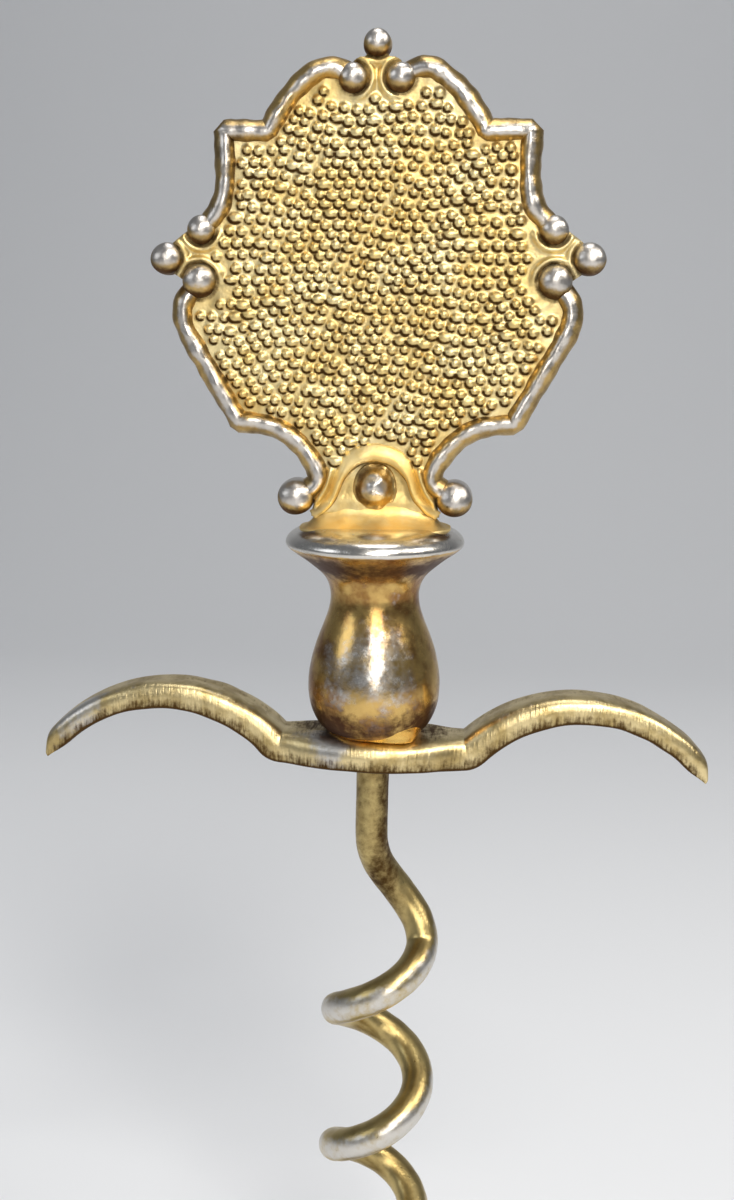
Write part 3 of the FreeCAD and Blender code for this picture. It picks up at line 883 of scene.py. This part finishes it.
def bar_marks(x, forward, upward):
    """Wear and painted shade round a section: two bright worn patches, and painted shade at the
    eye beside the stem's foot, at the back of the top, underneath and on the lower half of each
    face.
    """
    edge = smoothstep(0.5, 0.85, upward) * smoothstep(0.3, 0.7, forward)
    middle = math.exp(-(((x + 3.2) / 2.0) ** 2)) * (forward > 0.3)
    left = math.exp(-(((x + 22.5) / 1.8) ** 2)) * (forward > 0.3)
    under = smoothstep(-0.62, -0.92, upward)
    root = math.exp(-(((abs(x) - 4.6) / 1.5) ** 2)) * (upward > 0.9)
    top = smoothstep(0.5, -0.2, forward) * (upward > 0.9)
    face = smoothstep(0.35, -0.6, upward) * (np.abs(forward) > 0.65)
    wear = 0.22 * edge + 0.5 * middle + 0.5 * left
    # painted shade: under the stem's bulb at the eye, at the back of the top, on the underside
    # and on the lower half of the front and back faces
    return wear, 0.50 * under + 0.42 * root + 0.20 * top + 0.50 * face


def finger_bar():
    """The flat eye and its two drooping arms, forged as one, with filed faces."""
    reach = np.concatenate([np.linspace(0, 5.5, 26), np.linspace(5.6, 8.6, 31),
                            np.linspace(8.75, 23.0, 86), np.linspace(23.05, 25.6, 52)])
    stations = np.concatenate([-reach[::-1], reach[1:]])
    centre = np.array([bar_centre(abs(x)) for x in stations])
    slope = np.gradient(centre, stations)
    section = bar_section()
    forward, upward = section.T
    rings, wear, hollow = [], [], []
    for x, z, rise in zip(stations, centre, slope):
        half_depth, half_thick = bar_halves(abs(x))
        depth, height = half_depth * forward, half_thick * upward
        length = math.hypot(1, rise)
        across, level = x - rise / length * height, z + height / length
        if abs(x) > BEVEL_START_X:
            across, level = nib_bevel(x, across, level)
        rings.append(np.column_stack([across, -depth, level]))
        worn, painted_shade = bar_marks(x, forward, upward)
        wear.append(worn)
        hollow.append(painted_shade)
    rings = np.array(rings)
    rings += 0.015 * ring_noise(rings, 2.2, 41)[..., None]
    return loft("finger_bar", rings, BAR, "gilt_bar", wear, hollow, leans=False)


def worm_line():
    """The wire's centre line from inside the stem down to the point, and its radii."""
    points = [(0, 0, z) for z in (9.0, 6.0, 3.0, 0.0, -1.5, -2.6, -3.8, -4.8)]
    radii = [WIRE_RADIUS] * len(points)
    for share in np.arange(0, 1, 0.125):
        ease = share * share * (3 - 2 * share)
        angle = 2 * math.pi * LEAD_TURN * (1 - share)
        reach = COIL_RADIUS * ease
        z = SHANK_BOTTOM + (COIL_START_Z - SHANK_BOTTOM) * share
        points.append((COIL_OFFSET_X * ease + reach * math.cos(angle),
                       reach * math.sin(angle), z))
        radii.append(WIRE_RADIUS)
    for turned in np.linspace(0, COIL_TURNS, 55):
        angle = -2 * math.pi * turned
        share = min(1.0, (COIL_TURNS - turned) / POINT_TURN)
        points.append((COIL_OFFSET_X + COIL_RADIUS * math.cos(angle),
                       COIL_RADIUS * math.sin(angle), COIL_START_Z - COIL_PITCH * turned))
        radii.append(POINT_RADIUS + (WIRE_RADIUS - POINT_RADIUS) * share ** 0.75)
    count = 520
    line = spline(points, count)
    chords = np.linalg.norm(np.diff(points, axis=0), axis=1)
    knots = np.concatenate([[0], np.cumsum(chords)])
    return line, np.interp(np.linspace(0, knots[-1], count), knots, radii)


def worm():
    """The wire: a straight shank that winds out into a right-hand coil."""
    line, radii = worm_line()
    tangent = np.gradient(line, axis=0)
    tangent /= np.linalg.norm(tangent, axis=1, keepdims=True)
    across = np.array([1.0, 0, 0])
    turn = np.linspace(0, 2 * math.pi, 32, endpoint=False)
    rings, wear, hollow = [], [], []
    for point, along, radius in zip(line, tangent, radii):
        across = across - along * (across @ along)
        across /= np.linalg.norm(across)
        beside = np.cross(along, across)
        normal = np.outer(np.cos(turn), across) + np.outer(np.sin(turn), beside)
        rings.append(point + radius * normal)
        outwards = point - np.array([COIL_OFFSET_X, 0, point[2]])
        outwards /= max(np.linalg.norm(outwards), 1e-6)
        coiled = smoothstep(-9.0, -15.0, point[2])
        wear.append(coiled * 0.65 * smoothstep(0.3, 1.0, normal @ outwards))
        hollow.append(0.48 * (1 - coiled) + 0.3 * smoothstep(0.0, -1.0, normal @ outwards))
    rings = np.array(rings)
    pits = 1 - 0.008 + 0.006 * ring_noise(rings, 1.3, 51)
    middle = line[:, None]
    rings = middle + (rings - middle) * pits[..., None]
    return loft("worm", rings, WIRE, "gilt_wire", wear, hollow, leans=False)


# ---------------------------------------------------------------- studio

def backdrop():
    """A pale floor that sweeps up into a backdrop."""
    floor_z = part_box("worm")[0].z / MM - FLOOR_DROP
    bend = BACKDROP_RADIUS
    line = [(-900, 0), (-300, 0), (0, 0), (bend, 0)]
    line += [(bend + bend * math.sin(a), bend - bend * math.cos(a))
             for a in np.linspace(0.1, math.pi / 2, 16)]
    line += [(2 * bend, BACKDROP_TOP)]
    vertices = [(x, y, floor_z + z) for y, z in line
                for x in (-FLOOR_HALF_WIDTH, FLOOR_HALF_WIDTH)]
    faces = [(2 * i, 2 * i + 1, 2 * i + 3, 2 * i + 2) for i in range(len(line) - 1)]
    mesh = bpy.data.meshes.new("floor")
    mesh.from_pydata((np.array(vertices, float) * MM).tolist(), [], faces)
    mesh.shade_smooth()
    floor = bpy.data.objects.new("floor", mesh)
    bpy.context.scene.collection.objects.link(floor)
    paper = bpy.data.materials.new("paper")
    paper.use_nodes = True
    shader = paper.node_tree.nodes["Principled BSDF"]
    shader.inputs["Roughness"].default_value = 0.9
    shader.inputs["Base Color"].default_value = (0.80, 0.81, 0.83, 1)
    mesh.materials.append(paper)


def soft_light(name, place, size, power, colour):
    """An oval light of this width and height, in millimetres, aimed at the cartouche."""
    data = bpy.data.lights.new(name, "AREA")
    data.shape = "ELLIPSE"
    data.size, data.size_y = size[0] * MM, size[1] * MM
    data.energy = power
    data.color = colour
    lamp = bpy.data.objects.new(name, data)
    lamp.location = Vector(place) * MM
    aim = Vector((0, 0, LIGHT_AIM_Z * MM)) - lamp.location
    lamp.rotation_mode = "QUATERNION"
    lamp.rotation_quaternion = aim.to_track_quat("-Z", "Y")
    bpy.context.scene.collection.objects.link(lamp)


def studio():
    """The backdrop, five soft lights and a dim sky."""
    backdrop()
    soft_light("key", (100, -240, 280), (130, 130), 0.85, (1.0, 0.97, 0.92))
    soft_light("front", (40, -340, 130), (130, 260), 0.40, (1.0, 0.98, 0.95))
    soft_light("right", (270, -90, 260), (150, 150), 0.50, (1.0, 0.96, 0.90))
    soft_light("left", (-300, -160, 170), (200, 200), 0.18, (0.88, 0.93, 1.0))
    soft_light("top", (0, 30, 360), (160, 160), 0.35, (1.0, 1.0, 1.0))

    world = bpy.data.worlds.new("studio")
    world.use_nodes = True
    sky = world.node_tree.nodes["Background"]
    sky.inputs["Color"].default_value = (0.80, 0.85, 0.92, 1)
    sky.inputs["Strength"].default_value = 0.20
    bpy.context.scene.world = world


def camera():
    """A close camera, a little above the tool and turned towards its +X end."""
    e, yaw, roll = CAMERA_ELEVATION, CAMERA_YAW, CAMERA_ROLL
    look = Vector((-math.cos(e) * math.sin(yaw), math.cos(e) * math.cos(yaw), -math.sin(e)))
    right = Vector((math.cos(yaw), math.sin(yaw), 0))
    up = right.cross(look)
    aim = Vector((0, 0, CAMERA_AIM_Z)) + right * CAMERA_AIM_X
    tilted_right = right * math.cos(roll) + up * math.sin(roll)
    tilted_up = up * math.cos(roll) - right * math.sin(roll)
    data = bpy.data.cameras.new("camera")
    data.sensor_fit = "VERTICAL"
    data.sensor_height = SENSOR_HEIGHT
    data.lens = CAMERA_LENS
    data.clip_start = 0.005
    data.clip_end = 10
    eye = bpy.data.objects.new("camera", data)
    turn = Matrix((tilted_right, tilted_up, -look)).transposed().to_4x4()
    eye.matrix_world = Matrix.Translation((aim - look * CAMERA_DISTANCE) * MM) @ turn
    bpy.context.scene.collection.objects.link(eye)
    bpy.context.scene.camera = eye


# ---------------------------------------------------------------- assembly

ground()
for side, word in ((1, "right"), (-1, "left")):
    rim(f"rim_upper_{word}", UPPER_RIM, side, 2 + side)
    rim(f"rim_lower_{word}", LOWER_RIM, side, 5 + side)
    for order, kind in enumerate(("crown_bead", "shoulder_bead", "ear_ball", "side_bead",
                                  "scroll_bead")):
        bead(f"{kind}_{word}", 60 + 2 * order + (side > 0))
bead("crown_ball", 59)
boss()
arch_band()
socle()
baluster()
solder()
finger_bar()
worm()
studio()
camera()
bpy.context.scene.view_settings.view_transform = "Standard"
